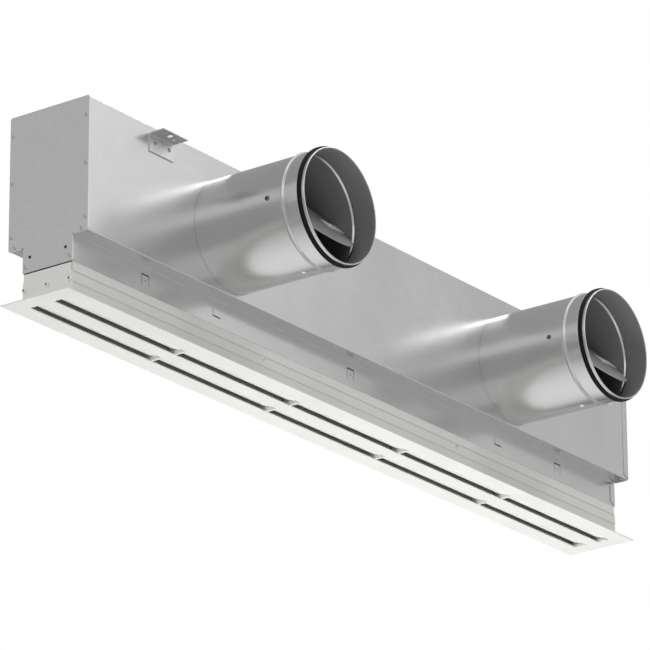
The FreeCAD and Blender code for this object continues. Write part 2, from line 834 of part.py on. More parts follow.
def build_side_profile(label, side_sign):
    """A long diffuser profile: face flange, grooved wall, screw port and the fin inside the neck."""
    body = new_body(label)
    face = sketch_on(body, "face_outline", "XY_Plane")
    draw_outline(face, [
        (-half_face, -half_width),
        (half_face, -half_width),
        (half_slots, -slot_far),
        (-half_slots, -slot_far),
    ])
    pad(body, "face", face, dim.face_sheet)
    deep = -(wall_out - dim.wall_groove_depth)
    fin_out = -(half_neck - dim.sheet - dim.fin_gap)
    section = sketch_on(body, "wall_section", "YZ_Plane")
    outline = [(-wall_out, dim.seat)]
    for level in (dim.groove_low, dim.groove_high):
        outline += [
            (-wall_out, level),
            (deep, level + dim.wall_groove / 3),
            (deep, level + dim.wall_groove * 2 / 3),
            (-wall_out, level + dim.wall_groove),
        ]
    outline += [
        (-wall_out, dim.wall_height),
        (-wall_in, dim.wall_height),
        (-wall_in, dim.seat),
    ]
    draw_outline(section, outline)
    pad(body, "wall", section, dim.slot_length, symmetric=True)
    fin = sketch_on(body, "fin_section", "YZ_Plane")
    draw_outline(fin, [
        (fin_out, dim.fin_base),
        (fin_out + dim.fin_sheet, dim.fin_base),
        (fin_out + dim.fin_sheet, dim.fin_height),
        (fin_out, dim.fin_height),
    ])
    pad(body, "fin", fin, dim.slot_length - dim.fin_setback * 2, symmetric=True)
    port = sketch_on(body, "port_circle", "YZ_Plane")
    draw_circle(port, -port_y, dim.port_height, dim.port_radius)
    pad(body, "port", port, dim.slot_length, symmetric=True)
    bore = sketch_on(body, "bore_circle", "YZ_Plane")
    draw_circle(bore, -port_y, dim.port_height, dim.screw_radius + dim.screw_play)
    cut(body, "bore", bore, symmetric=True)
    screws = sketch_on(body, "side_screw_circles", "XZ_Plane")
    for sign in (1, -1):
        x = dim.side_screw_spacing / 2 * sign
        draw_circle(screws, x, dim.side_screw_height, dim.side_screw_radius + dim.screw_play)
    cut(body, "side_screw_holes", screws, backwards=True)
    place(body, **turned(side_sign))


def build_centre_profile():
    """The bar between the slots: a face strip and a stem with a screw port at its top."""
    body = new_body("centre_profile")
    half_stem = dim.stem_sheet / 2
    section = sketch_on(body, "section", "YZ_Plane")
    draw_outline(section, [
        (-slot_near, 0),
        (slot_near, 0),
        (slot_near, dim.face_sheet),
        (half_stem, dim.face_sheet),
        (half_stem, dim.port_height),
        (-half_stem, dim.port_height),
        (-half_stem, dim.face_sheet),
        (-slot_near, dim.face_sheet),
    ])
    pad(body, "bar", section, dim.slot_length, symmetric=True)
    port = sketch_on(body, "port_circle", "YZ_Plane")
    draw_circle(port, 0, dim.port_height, dim.port_radius)
    pad(body, "port", port, dim.slot_length, symmetric=True)
    bore = sketch_on(body, "bore_circle", "YZ_Plane")
    draw_circle(bore, 0, dim.port_height, dim.screw_radius + dim.screw_play)
    cut(body, "bore", bore, symmetric=True)
    place(body)


def build_end_angle(label, side_sign):
    """The angle that closes one end: a mitred face flange and an upright plate with the screw holes."""
    body = new_body(label)
    face = sketch_on(body, "face_outline", "XY_Plane")
    draw_outline(face, [
        (half_slots, -slot_far),
        (half_face, -half_width),
        (half_face, half_width),
        (half_slots, slot_far),
    ])
    pad(body, "face", face, dim.face_sheet)
    notch = wall_out - dim.notch_width
    base = dim.face_sheet + dim.seat
    inner = slot_far - dim.seat
    upright = sketch_on(body, "upright_outline", "YZ_Plane", half_slots)
    draw_outline(upright, [
        (-inner, dim.seat),
        (inner, dim.seat),
        (inner, base),
        (wall_out, base),
        (wall_out, dim.notch_height),
        (notch, dim.notch_height),
        (notch, dim.end_height),
        (-notch, dim.end_height),
        (-notch, dim.notch_height),
        (-wall_out, dim.notch_height),
        (-wall_out, base),
        (-inner, base),
    ])
    pad(body, "upright", upright, dim.end_sheet)
    holes = sketch_on(body, "screw_circles", "YZ_Plane")
    for y in (port_y, as_size(0), -port_y):
        draw_circle(holes, y, dim.port_height, dim.screw_radius + dim.screw_play)
    cut(body, "screw_holes", holes, backwards=True)
    sockets = sketch_on(body, "socket_circles", "YZ_Plane", half_slots)
    for sign in (1, -1):
        draw_circle(sockets, slot_centre * sign, dim.vane_height, dim.vane_pin + dim.vane_pin_play)
    depth = dim.vane_pin_reach + dim.seat
    cut(body, "vane_sockets", sockets, depth, backwards=True)
    place(body, **turned(side_sign))


def build_end_screws(label, side_sign):
    """The three screws of one end angle."""
    stations = screw_stations(dim.screw_head, dim.screw_head_height, dim.screw_radius, dim.screw_length)
    face = half_slots + dim.end_sheet + dim.seat
    places = [port_y, as_size(0), -port_y]
    solids = [headed_pin(stations, (1, 0, 0), (face, y, dim.port_height)) for y in places]
    group = fastener_group(label, solids)
    place(group, **turned(side_sign))


def build_side_screws(label, side_sign):
    """The screws through one side profile into the tie bars."""
    head = dim.side_screw_head
    stations = screw_stations(head, dim.side_screw_head_height, dim.side_screw_radius, dim.side_screw_length)
    solids = []
    for sign in (1, -1):
        spot = (dim.side_screw_spacing / 2 * sign, -wall_out - dim.seat, dim.side_screw_height)
        solids.append(headed_pin(stations, (0, -1, 0), spot))
    group = fastener_group(label, solids)
    place(group, **turned(side_sign))


def build_tie_bar(label, side_sign):
    """A channel across the diffuser, resting on the screw ports and screwed to both walls."""
    body = new_body(label)
    reach = wall_in - dim.seat
    top = tie_base + dim.tie_height
    floor = tie_base + dim.tie_sheet
    section = sketch_on(body, "section", "YZ_Plane")
    draw_outline(section, [
        (-reach, tie_base),
        (reach, tie_base),
        (reach, top),
        (reach - dim.tie_sheet, top),
        (reach - dim.tie_sheet, floor),
        (-reach + dim.tie_sheet, floor),
        (-reach + dim.tie_sheet, top),
        (-reach, top),
    ])
    pad(body, "channel", section, dim.tie_width, symmetric=True)
    holes = sketch_on(body, "screw_circle", "XZ_Plane")
    draw_circle(holes, 0, dim.side_screw_height, dim.side_screw_radius + dim.screw_play)
    cut(body, "screw_holes", holes, symmetric=True)
    place(body, x=dim.side_screw_spacing / 2 * side_sign)


def build_web(label, side_sign, number):
    """A spacer across one slot: a tongue between the lips, shoulders above and a hole for the pins."""
    body = new_body(label)
    base = dim.face_sheet + dim.seat
    tongue = dim.slot_width / 2 - dim.tongue_gap
    near = -(dim.stem_sheet / 2 + dim.seat)
    far = -(wall_in - dim.seat)
    middle = -slot_centre
    section = sketch_on(body, "section", "YZ_Plane")
    draw_outline(section, [
        (middle - tongue, dim.seat * 2),
        (middle + tongue, dim.seat * 2),
        (middle + tongue, base),
        (near, base),
        (near, dim.web_height),
        (far, dim.web_height),
        (far, base),
        (middle - tongue, base),
    ])
    pad(body, "plate", section, dim.web_thickness, symmetric=True)
    hole = sketch_on(body, "pin_circle", "YZ_Plane")
    draw_circle(hole, middle, dim.vane_height, dim.vane_pin + dim.vane_pin_play)
    cut(body, "pin_hole", hole, symmetric=True)
    place(body, x=web_pitch * (number - (SEGMENTS - 2) / 2), **turned(side_sign))


def build_vane(label, side_sign, number):
    """One curved air vane with its bead and end pins, drawn about the pins' axis."""
    body = new_body(label)
    half = dim.vane_chord / 2
    radius = (half * half + dim.vane_rise * dim.vane_rise) / (dim.vane_rise * 2)
    outer = radius + dim.vane_sheet
    centre = -dim.vane_sheet / 2 - radius
    low = -dim.vane_sheet / 2 - dim.vane_rise
    top_half = half * outer / radius
    top_low = centre + (low - centre) * outer / radius
    length = segment - dim.vane_side_gap * 2
    section = sketch_on(body, "section", "YZ_Plane")
    draw_outline(section, [
        (-half, low, radius, "right"),
        (half, low),
        (top_half, top_low, outer, "left"),
        (-top_half, top_low),
    ])
    pad(body, "blade", section, length, symmetric=True)
    bead = sketch_on(body, "bead_outline", "YZ_Plane")
    draw_flat_sided(bead, level_zero, level_zero, dim.vane_bead)
    pad(body, "bead", bead, length, symmetric=True)
    pin = sketch_on(body, "pin_outline", "YZ_Plane")
    draw_flat_sided(pin, level_zero, level_zero, dim.vane_pin)
    pad(body, "pins", pin, segment + dim.vane_pin_reach * 2, symmetric=True)
    x = web_pitch * (number - (SEGMENTS - 1) / 2)
    place(body, x=x, y=-slot_centre * side_sign, z=dim.vane_height, axis=(1, 0, 0), angle=dim.vane_tilt)


build_casing()
for side_name, side in (("left", -1), ("right", 1)):
    build_end_plate(f"end_plate_{side_name}", side)
    build_end_rivets(f"end_rivets_{side_name}", side)
    build_spigot(f"spigot_{side_name}", side)
    build_seal(f"lip_seal_{side_name}", side)
    build_blade(f"damper_blade_{side_name}", side)
    for end_name, end in (("a", -1), ("b", 1)):
        build_strap(f"damper_strap_{side_name}_{end_name}", side, end)
    build_strap_rivets(f"strap_rivets_{side_name}", side)
    build_pivots(f"damper_pivots_{side_name}", side)
    build_stop_rivet(f"damper_stop_{side_name}", side)
    build_end_angle(f"end_angle_{side_name}", side)
    build_end_screws(f"end_screws_{side_name}", side)
    build_tie_bar(f"tie_bar_{side_name}", side)
for row_name, row_side in (("front", 1), ("back", -1)):
    for end_name, end in (("left", -1), ("right", 1)):
        build_hanger(f"hanger_{row_name}_{end_name}", row_side, end)
    build_side_profile(f"side_profile_{row_name}", row_side)
    build_side_screws(f"side_screws_{row_name}", row_side)
    for web in range(SEGMENTS - 1):
        build_web(f"web_{row_name}_{web + 1}", row_side, web)
    for vane in range(SEGMENTS):
        build_vane(f"vane_{row_name}_{vane + 1}", row_side, vane)
build_hanger_rivets()
build_centre_profile()

doc.recompute()
for item in doc.Objects:
    if "Invalid" in item.State or "Error" in item.State:
        raise RuntimeError(f"{item.Label} failed: {item.State}")
for piece in parts:
    if piece.Shape.isNull() or not piece.Shape.isValid():
        raise RuntimeError(f"{piece.Label} has no valid shape")

os.makedirs("parts", exist_ok=True)
for piece in parts:
    piece.Shape.exportStep(os.path.join("parts", f"{piece.Label}.step"))
print(len(parts), "parts written")
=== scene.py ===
import bmesh
import bpy
import math
from mathutils import Matrix, Vector


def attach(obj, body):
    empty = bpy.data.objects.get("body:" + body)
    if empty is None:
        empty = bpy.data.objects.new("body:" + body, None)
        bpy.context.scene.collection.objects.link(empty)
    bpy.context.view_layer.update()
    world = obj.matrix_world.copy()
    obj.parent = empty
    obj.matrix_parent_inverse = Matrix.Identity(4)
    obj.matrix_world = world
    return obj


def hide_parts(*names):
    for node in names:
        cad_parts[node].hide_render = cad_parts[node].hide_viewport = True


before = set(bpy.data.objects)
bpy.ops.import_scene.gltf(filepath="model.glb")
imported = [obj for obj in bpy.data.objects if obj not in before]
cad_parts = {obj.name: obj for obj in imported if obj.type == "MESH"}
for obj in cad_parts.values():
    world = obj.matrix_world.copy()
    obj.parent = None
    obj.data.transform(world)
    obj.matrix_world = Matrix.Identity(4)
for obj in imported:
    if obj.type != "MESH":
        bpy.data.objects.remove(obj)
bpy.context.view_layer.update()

# The looks of a two-slot linear diffuser with its plenum box and two spigots.
# X runs along the slots, the spigots point to -Y and +Z is up. The sizes of the
# part are in millimetres until they meet MM; shaders and the stage use metres.

MM = 0.001
SIDES = (("left", -1), ("right", 1))
ROWS = (("front", -1), ("back", 1))

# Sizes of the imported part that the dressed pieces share
HALF_LENGTH = 622.5
HALF_BOX = 65.5
HALF_NECK = 40.75
BOX_BASE = 85.0
BOX_TOP = 271.0
NECK_BASE = 48.7
SHEET = 1.0
SEAT = 0.1
SPIGOT_X = 324.0
SPIGOT_Z = 169.0
SPIGOT_RADIUS = 79.0
RIM_Y = -245.5
PIVOT_Y = -185.5
BEAD_Y = -209.9
HALF_SLOTS = 620.5
PORT_SPREAD = 37.5
PORT_Z = 25.0
ANGLE_SHEET = 1.7
SIDE_SCREW_X = 222
SIDE_SCREW_Z = 31.8
CATCH_MIDDLE = 27.3
PIP_Z = 66
HANGER_X = 473.85
HANGER_SHELF = 260.3
HANGER_SHEET = 1.5
HANGER_BEND = 1.2
HANGER_LEG = 26.3
HANGER_REACH = 25.0
HALF_HANGER = 25.35
HANGER_HOLES = ((0, -15.2, 4.0), (12.5, -11.2, 2.0))
HANGER_RIVET_X = 14.9
HANGER_RIVET_DROP = 12.4
PEEP_RADIUS = 2.2
PEEP_Y = 29.7
PEEP_Z = 69.6


# ---------------------------------------------------------------- materials

# Inputs and output of a mix node for each kind of data that it mixes
MIX_SOCKETS = {"FLOAT": (2, 3, 0), "RGBA": (6, 7, 2)}

CLOUD_RANGE = (0.25, 0.75)
CRYSTAL_SHARE = 0.35
GRAIN_DEPTH = 0.0003

# Painted shade on the wall inside the spigots: a dull dark grey, less metallic than the zinc, and
# the radii between which it fades out
INNER_WALL_SHADE = (0.36, 0.36, 0.36, 1.0)
INNER_WALL_METALLIC = 0.35
INNER_WALL_ROUGHNESS = 0.42
INNER_WALL_RADII = (0.07808, 0.07816)

# Where painted shade darkens the powder coat: past the face's edge, inside the slots
# (by depth, width and length), low on the walls and in their grooves
FACE_EDGE = (0.0017, 0.0021)
SLOT_DEPTH = (0.0022, 0.0050)
SLOT_WIDTH = (0.0402, 0.0395)
SLOT_LENGTH = (0.6221, 0.6206)
SLOT_SHADE_TONE = (0.46, 0.46, 0.40, 1.0)
WALL_SHADE_HEIGHTS = (0.0020, 0.0440)
WALL_SHADE_SHARE = 0.17
GROOVES_Z = (0.0204, 0.0348)
GROOVE_SHADE_WIDTH = (0.0007, 0.0026)
GROOVE_SHADE_SHARE = 0.26
WALL_SHADE_TONE = (0.33, 0.33, 0.28, 1.0)


def feed(tree, socket, value):
    """Links a socket to an input, or sets a plain number or colour on it."""
    if isinstance(value, bpy.types.NodeSocket):
        tree.links.new(value, socket)
    else:
        socket.default_value = value


def compute(tree, operation, *values):
    """The result of a math node on sockets or plain numbers."""
    node = tree.nodes.new("ShaderNodeMath")
    node.operation = operation
    for socket, value in zip(node.inputs, values):
        feed(tree, socket, value)
    return node.outputs["Value"]


def mixed(tree, factor, first, second, kind="RGBA"):
    """Two colours or numbers mixed by a factor."""
    node = tree.nodes.new("ShaderNodeMix")
    node.data_type = kind
    first_input, second_input, output = MIX_SOCKETS[kind]
    feed(tree, node.inputs["Factor"], factor)
    feed(tree, node.inputs[first_input], first)
    feed(tree, node.inputs[second_input], second)
    return node.outputs[output]


def span(tree, value, old, new):
    """Maps one range of a value smoothly on to another."""
    node = tree.nodes.new("ShaderNodeMapRange")
    node.interpolation_type = "SMOOTHSTEP"
    node.inputs["From Min"].default_value, node.inputs["From Max"].default_value = old
    node.inputs["To Min"].default_value, node.inputs["To Max"].default_value = new
    tree.links.new(value, node.inputs["Value"])
    return node.outputs["Result"]


def object_place(tree):
    """Each point's place in the object, in metres."""
    return tree.nodes.new("ShaderNodeTexCoord").outputs["Object"]


def object_axes(tree):
    """The object's X, Y and Z in metres."""
    axes = tree.nodes.new("ShaderNodeSeparateXYZ")
    tree.links.new(object_place(tree), axes.inputs["Vector"])
    return axes.outputs


def noise(tree, place, scale, detail, stretch=None):
    """A noise texture, stretched along the axes where stretch says so."""
    texture = tree.nodes.new("ShaderNodeTexNoise")
    texture.inputs["Scale"].default_value = scale
    texture.inputs["Detail"].default_value = detail
    if stretch is not None:
        mapping = tree.nodes.new("ShaderNodeMapping")
        mapping.inputs["Scale"].default_value = stretch
        tree.links.new(place, mapping.inputs["Vector"])
        place = mapping.outputs["Vector"]
    tree.links.new(place, texture.inputs["Vector"])
    return texture.outputs["Fac"]


def crystal_tone(tree, place, scale):
    """A number for each crystal of a zinc coat."""
    cells = tree.nodes.new("ShaderNodeTexVoronoi")
    cells.inputs["Scale"].default_value = scale
    tree.links.new(place, cells.inputs["Vector"])
    parts = tree.nodes.new("ShaderNodeSeparateColor")
    tree.links.new(cells.outputs["Color"], parts.inputs["Color"])
    return parts.outputs["Red"]


def surface(name, colours, roughness, metallic, mottle, grain, bump, stretch=None, crystals=None):
    """A material whose colour and roughness vary softly and whose fine grain is a bump."""
    material = bpy.data.materials.new(name)
    material.use_nodes = True
    tree = material.node_tree
    shader = tree.nodes["Principled BSDF"]
    shader.inputs["Metallic"].default_value = metallic
    place = object_place(tree)
    clouds = noise(tree, place, mottle, 3.0)
    tone = span(tree, clouds, CLOUD_RANGE, (0.0, 1.0))
    if crystals is not None:
        tone = mixed(tree, CRYSTAL_SHARE, tone, crystal_tone(tree, place, crystals), "FLOAT")
    low, high = ((*colour, 1.0) for colour in colours)
    tree.links.new(mixed(tree, tone, low, high), shader.inputs["Base Color"])
    tree.links.new(span(tree, clouds, CLOUD_RANGE, roughness), shader.inputs["Roughness"])
    relief = tree.nodes.new("ShaderNodeBump")
    relief.inputs["Strength"].default_value = bump
    relief.inputs["Distance"].default_value = GRAIN_DEPTH
    tree.links.new(noise(tree, place, grain, 2.0, stretch), relief.inputs["Height"])
    tree.links.new(relief.outputs["Normal"], shader.inputs["Normal"])
    return material


def paint_inner_wall_shade(material):
    """Paints shade on the spigots' inner wall as a dull dark grey, told by its distance from
    their axis.
    """
    tree = material.node_tree
    shader = tree.nodes["Principled BSDF"]
    sheet = shader.inputs["Base Color"].links[0].from_socket
    rough = shader.inputs["Roughness"].links[0].from_socket
    axes = object_axes(tree)
    across = compute(tree, "SUBTRACT", compute(tree, "ABSOLUTE", axes["X"]), SPIGOT_X * MM)
    raised = compute(tree, "SUBTRACT", axes["Z"], SPIGOT_Z * MM)
    offset = tree.nodes.new("ShaderNodeCombineXYZ")
    tree.links.new(across, offset.inputs["X"])
    tree.links.new(raised, offset.inputs["Y"])
    radius = tree.nodes.new("ShaderNodeVectorMath")
    radius.operation = "LENGTH"
    tree.links.new(offset.outputs["Vector"], radius.inputs[0])
    inside = span(tree, radius.outputs["Value"], INNER_WALL_RADII, (1.0, 0.0))
    metallic = span(tree, inside, (0.0, 1.0), (1.0, INNER_WALL_METALLIC))
    dull = mixed(tree, inside, rough, INNER_WALL_ROUGHNESS, "FLOAT")
    tree.links.new(mixed(tree, inside, sheet, INNER_WALL_SHADE), shader.inputs["Base Color"])
    tree.links.new(metallic, shader.inputs["Metallic"])
    tree.links.new(dull, shader.inputs["Roughness"])


def slotted_coat(name, plain, shade_share):
    """A powder coat with painted shade: greyer inside the slots, darker low on the walls and
    along their grooves.
    """
    material = plain.copy()
    material.name = name
    tree = material.node_tree
    shader = tree.nodes["Principled BSDF"]
    coat = shader.inputs["Base Color"].links[0].from_socket
    axes = object_axes(tree)
    depth = span(tree, axes["Z"], SLOT_DEPTH, (0.0, 1.0))
    inward = span(tree, compute(tree, "ABSOLUTE", axes["Y"]), SLOT_WIDTH, (0.0, 1.0))
    within = span(tree, compute(tree, "ABSOLUTE", axes["X"]), SLOT_LENGTH, (0.0, 1.0))
    inside = compute(tree, "MULTIPLY", compute(tree, "MULTIPLY", depth, inward), within)
    # painted shade, darker towards the bottom of the walls and along the grooves
    shade_amount = span(tree, axes["Z"], WALL_SHADE_HEIGHTS, (WALL_SHADE_SHARE * shade_share, 0.0))
    for height in GROOVES_Z:
        gap = compute(tree, "ABSOLUTE", compute(tree, "SUBTRACT", axes["Z"], height))
        line = span(tree, gap, GROOVE_SHADE_WIDTH, (GROOVE_SHADE_SHARE * shade_share, 0.0))
        shade_amount = compute(tree, "MAXIMUM", shade_amount, line)
    wall_shade = compute(tree, "MULTIPLY", shade_amount, span(tree, axes["Z"], FACE_EDGE, (0.0, 1.0)))
    shaded_coat = mixed(tree, wall_shade, coat, WALL_SHADE_TONE)
    # painted shade: grey inside the slots
    tree.links.new(mixed(tree, inside, shaded_coat, SLOT_SHADE_TONE), shader.inputs["Base Color"])
    return material


def greys(low, high):
    """The two ends of a neutral metal's colour."""
    return (low, low, low), (high, high, high)


ZINC = ((0.650, 0.647, 0.648), (0.695, 0.691, 0.692))
# Painted light: the straps' zinc is near white, to offset the shade inside the spigots
STRAP_PAINTED_LIGHT = ((0.86, 0.855, 0.855), (0.94, 0.935, 0.935))
# Bright zinc for the screw heads, lightened to near white as a painted highlight
SCREW_ZINC_HIGHLIGHT = ((0.82, 0.82, 0.82), (0.90, 0.90, 0.89))
POWDER = ((0.755, 0.760, 0.725), (0.785, 0.790, 0.755))
PLASTIC = ((0.80, 0.80, 0.78), (0.84, 0.84, 0.82))
RUBBER = ((0.005, 0.005, 0.006), (0.010, 0.010, 0.011))

# Each metal's roughness stays wholly below or above 0.27, where the denoiser
# would otherwise draw a contour. After it: metallic, mottle, grain and bump.
galvanised = surface(
    "galvanised_sheet", ZINC, (0.20, 0.26), 1.0, 5.0, 700.0, 0.004, crystals=110.0)
collar_steel = surface(
    "collar_sheet", ZINC, (0.19, 0.25), 1.0, 7.0, 700.0, 0.05, stretch=(0.15, 2.0, 0.15))
bracket_steel = surface(
    "bracket_sheet", greys(0.61, 0.66), (0.33, 0.39), 1.0, 20.0, 800.0, 0.08)
# The damper blade is zinc painted dark grey: painted shade for its place inside the spigot
shaded_damper_steel = surface(
    "damper_sheet_painted_shade", greys(0.36, 0.40), (0.36, 0.42), 0.4, 15.0, 700.0, 0.06)
# The straps: near-white, wholly diffuse zinc, which is painted light
lit_strap_steel = surface(
    "strap_sheet_painted_light", STRAP_PAINTED_LIGHT, (0.36, 0.48), 0.0, 60.0, 700.0, 0.10)
rivet_steel = surface(
    "rivet_metal", greys(0.58, 0.64), (0.30, 0.38), 1.0, 200.0, 3000.0, 0.10)
# Screw heads: bright zinc with a painted highlight, near white and mostly diffuse
highlit_screw_steel = surface(
    "screw_metal_painted_highlight", SCREW_ZINC_HIGHLIGHT, (0.285, 0.33), 0.3, 200.0, 3000.0, 0.08)
# Near-white, mostly diffuse metal: a painted glint on the stop rivets and the strap rivets
glint_steel = surface(
    "painted_glint_metal", greys(0.84, 0.90), (0.30, 0.36), 0.3, 200.0, 3000.0, 0.08)
# The same rivet metal made dark grey: painted shade on the bracket rivets and the catch pips
shaded_rivet_steel = surface(
    "rivet_metal_painted_shade", greys(0.30, 0.36), (0.30, 0.38), 1.0, 200.0, 3000.0, 0.10)
# Dark grey for the pivot pins, and painted shade in the screws' cross recesses
dark_pin_and_recess_shade = surface(
    "dark_pin_and_recess_shade_metal", greys(0.13, 0.20), (0.34, 0.42), 0.8, 200.0, 3000.0, 0.08)
powder_coat = surface(
    "powder_coat", POWDER, (0.42, 0.50), 0.0, 12.0, 1400.0, 0.10)
vane_plastic = surface(
    "vane_plastic", PLASTIC, (0.38, 0.46), 0.0, 30.0, 1600.0, 0.06)
seal_rubber = surface(
    "seal_rubber", RUBBER, (0.50, 0.62), 0.0, 60.0, 1200.0, 0.12)

seal_rubber.node_tree.nodes["Principled BSDF"].inputs["Specular IOR Level"].default_value = 0.18
# painted shade: the spigots' inner wall turns dull dark grey
paint_inner_wall_shade(collar_steel)
profile_coat = slotted_coat("profile_coat", powder_coat, 1.0)
angle_coat = slotted_coat("angle_coat", powder_coat, 0.0)


# ------------------------------------------------------------------ meshes

MERGE_DISTANCE = 0.000001
WELD_DISTANCE = 0.000002


def clean(shape):
    """Joins a bmesh's doubled points and turns its faces outward."""
    bmesh.ops.remove_doubles(shape, verts=shape.verts, dist=MERGE_DISTANCE)
    bmesh.ops.recalc_face_normals(shape, faces=shape.faces)


def transform(shape, matrix):
    """Moves a whole bmesh by a matrix."""
    bmesh.ops.transform(shape, matrix=matrix, verts=shape.verts)


def moved_by(x, y, z):
    """The matrix of a move in millimetres."""
    return Matrix.Translation(Vector((x, y, z)) * MM)


def to_mesh(name, shape):
    """Turns a bmesh into a mesh and frees it."""
    mesh = bpy.data.meshes.new(name)
    shape.to_mesh(mesh)
    shape.free()
    return mesh


def add_object(name, data):
    """A new object in the scene."""
    item = bpy.data.objects.new(name, data)
    bpy.context.scene.collection.objects.link(item)
    return item


def round_edges(piece, width):
    """Rounds a piece's sharp edges a little, so that they catch the light."""
    bevel = piece.modifiers.new("edge_round", "BEVEL")
    bevel.width = width * MM
    bevel.segments = 2
    bevel.limit_method = "ANGLE"
    bevel.angle_limit = math.radians(40.0)
    bevel.harden_normals = True
    weighted = piece.modifiers.new("face_normals", "WEIGHTED_NORMAL")
    weighted.keep_sharp = True


def dress_cad(node, material, width):
    """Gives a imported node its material, joins its coplanar facets and rounds its edges."""
    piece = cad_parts[node]
    piece.data.materials.clear()
    piece.data.materials.append(material)
    piece.data.shade_smooth()
    weld = piece.modifiers.new("weld", "WELD")
    weld.merge_threshold = WELD_DISTANCE
    planar = piece.modifiers.new("planar", "DECIMATE")
    planar.decimate_type = "DISSOLVE"
    planar.angle_limit = math.radians(0.5)
    round_edges(piece, width)


def make_piece(name, shape, materials, nodes, sharp=None, width=None):
    """Turns a bmesh into a piece of the housing that stands for CAD nodes.

    Its edges are either sharp above an angle or rounded by a width.
    """
    clean(shape)
    mesh = to_mesh(name, shape)
    mesh.shade_smooth()
    piece = add_object(name, mesh)
    for material in materials:
        mesh.materials.append(material)
    if sharp is not None:
        mesh.set_sharp_from_angle(angle=math.radians(sharp))
    if width is not None:
        round_edges(piece, width)
    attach(piece, "housing")
    if nodes:
        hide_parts(*nodes)


def cut_away(shape, cutters):
    """Takes cutter meshes away from a bmesh and returns the result as a new bmesh."""
    objects = []
    for index, source in enumerate([shape] + cutters):
        clean(source)
        name = f"bake_{index}"
        objects.append(add_object(name, to_mesh(name, source)))
    for cutter in objects[1:]:
        boolean = objects[0].modifiers.new("cut", "BOOLEAN")
        boolean.operation = "DIFFERENCE"
        boolean.solver = "EXACT"
        boolean.object = cutter
    bpy.context.view_layer.update()
    graph = bpy.context.evaluated_depsgraph_get()
    result = bmesh.new()
    result.from_mesh(bpy.data.meshes.new_from_object(objects[0].evaluated_get(graph)))
    for item in objects:
        bpy.data.objects.remove(item)
    return result


def lathe(profile, segments, closed=False):
    """Turns (radius, height) points round Z. Points on the axis close the shape."""
    shape = bmesh.new()
    rings = []
    for radius, height in profile:
        ring = []
        for index in range(segments if radius > 0 else 1):
            angle = math.tau * index / segments
            spot = (radius * math.cos(angle) * MM, radius * math.sin(angle) * MM, height * MM)
            ring.append(shape.verts.new(spot))
        rings.append(ring)
    pairs = list(zip(rings, rings[1:]))
    if closed:
        pairs.append((rings[-1], rings[0]))
    for low, high in pairs:
        for index in range(segments):
            after = (index + 1) % segments
            corners = [
                low[index % len(low)], low[after % len(low)],
                high[after % len(high)], high[index % len(high)],
            ]
            unique = list(dict.fromkeys(corners))
            if len(unique) > 2:
                shape.faces.new(unique)
    return shape


def loft(ends):
    """A closed shape between two outlines of as many (x, y, z) points."""
    shape = bmesh.new()
    low, high = [[shape.verts.new((x * MM, y * MM, z * MM)) for x, y, z in end] for end in ends]
    for index in range(len(low)):
        after = (index + 1) % len(low)
        shape.faces.new((low[index], low[after], high[after], high[index]))
    shape.faces.new(low)
    shape.faces.new(high[::-1])
    return shape


def arc(centre, radius, first, last, steps):
    """Points along an arc, its angles in degrees."""
    points = []
    for index in range(steps + 1):
        angle = math.radians(first + (last - first) * index / steps)
        x = centre[0] + radius * math.cos(angle)
        y = centre[1] + radius * math.sin(angle)
        points.append((x, y))
    return points


def facing(direction, spot):
    """The placement that points Z along a direction at a spot in millimetres."""
    turn = Vector(direction).to_track_quat("Z", "Y").to_matrix().to_4x4()
    return moved_by(*spot) @ turn


def template(shape):
    """Keeps a bmesh as a mesh that can be stamped many times."""
    clean(shape)
    return to_mesh("template", shape)


# --------------------------------------------------------------- fasteners

# Rivets of the end plates, from the edges of the box and the neck, and the screws' threads
END_RIVET_EDGE = 4
END_RIVET_CORNER = 9.6
END_RIVET_NECK = 8
THREAD_PITCH = 0.9
THREAD_ROOT = 0.82


def rivet_template(grip):
    """A domed blind rivet with its mandrel in the middle; 0 is under the head."""
    tail = [
        (0, -grip - 1.40), (1.1, -grip - 1.35), (1.9, -grip - 1.05), (2.4, -grip - 0.55),
        (2.3, -grip - 0.08), (1.6, -grip), (1.6, 0),
    ]
    head = [
        (2.8, 0), (2.9, 0.12), (2.84, 0.32), (2.5, 0.62), (1.9, 0.90), (1.25, 1.07), (0.95, 1.10),
    ]
    mandrel = [(0.84, 1.02), (0.82, 0.60), (0.74, 0.56), (0.70, 0.72), (0.4, 0.78), (0, 0.80)]
    return template(lathe(tail + head + mandrel, 24))


def cross_cutters(width, length, top, depth):
    """Two crossed wedges that narrow towards the bottom of a screw's recess."""
    cutters = []
    for half_x, half_y in ((width / 2, length / 2), (length / 2, width / 2)):
        ends = []
        for share, level in ((1.0, top + 0.5), (0.6, top - depth)):
            corners = ((-1, -1), (1, -1), (1, 1), (-1, 1))
            ends.append([(half_x * share * x, half_y * share * y, level) for x, y in corners])
        cutters.append(loft(ends))
    return cutters


